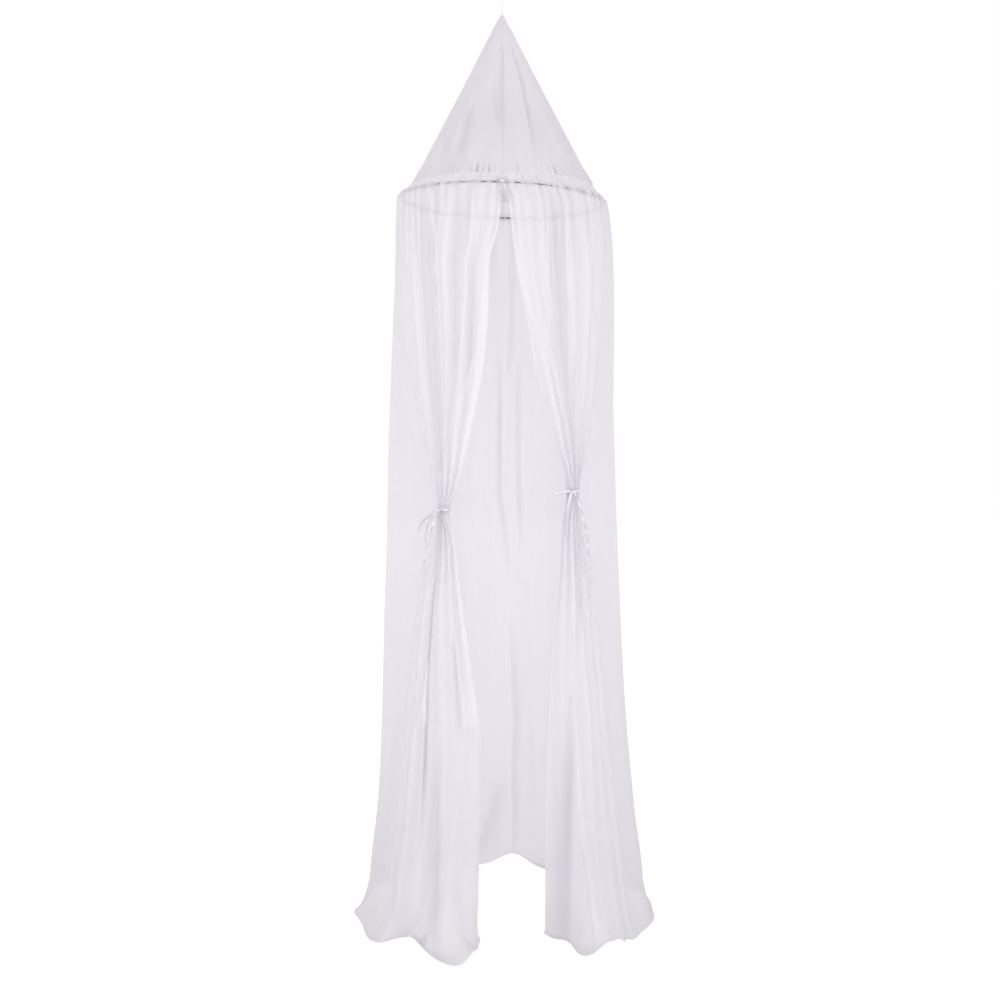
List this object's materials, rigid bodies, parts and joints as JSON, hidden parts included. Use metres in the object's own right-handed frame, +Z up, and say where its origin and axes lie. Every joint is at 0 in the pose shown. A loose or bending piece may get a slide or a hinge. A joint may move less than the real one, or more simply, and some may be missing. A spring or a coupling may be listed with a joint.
{
  "type": "mosquito net canopy with wire hoop",
  "caption": "Sheer curtain gathered on a wire hoop under a cloth cone, parted in front and tied back, hung by one cord over a bed or cot.",
  "frame": {"origin": "the hanging point: the top of the cord's loop, where a ceiling hook carries the canopy", "axes": "+Z up along the cord, the parted front faces -Y, +X to the right seen from the front"},
  "size_m": [0.7494, 0.6784, 2.3276],
  "materials": {
    "cord": "twisted white cord",
    "cone_cloth": "plain white cotton voile, doubled",
    "hoop_wire": "black coated steel wire",
    "sheer_cloth": "sheer white voile with a faint lavender cast",
    "ribbon": "soft satin ribbon, pale lavender white"
  },
  "bodies": {
    "root": {"hanging_loop": "cord", "hanging_cord": "cord", "cone_top": "cone_cloth", "hoop": "hoop_wire", "curtain": "sheer_cloth", "heading_bow": "ribbon", "tie_left": "ribbon", "tie_right": "ribbon"}
  },
  "joints": []
}
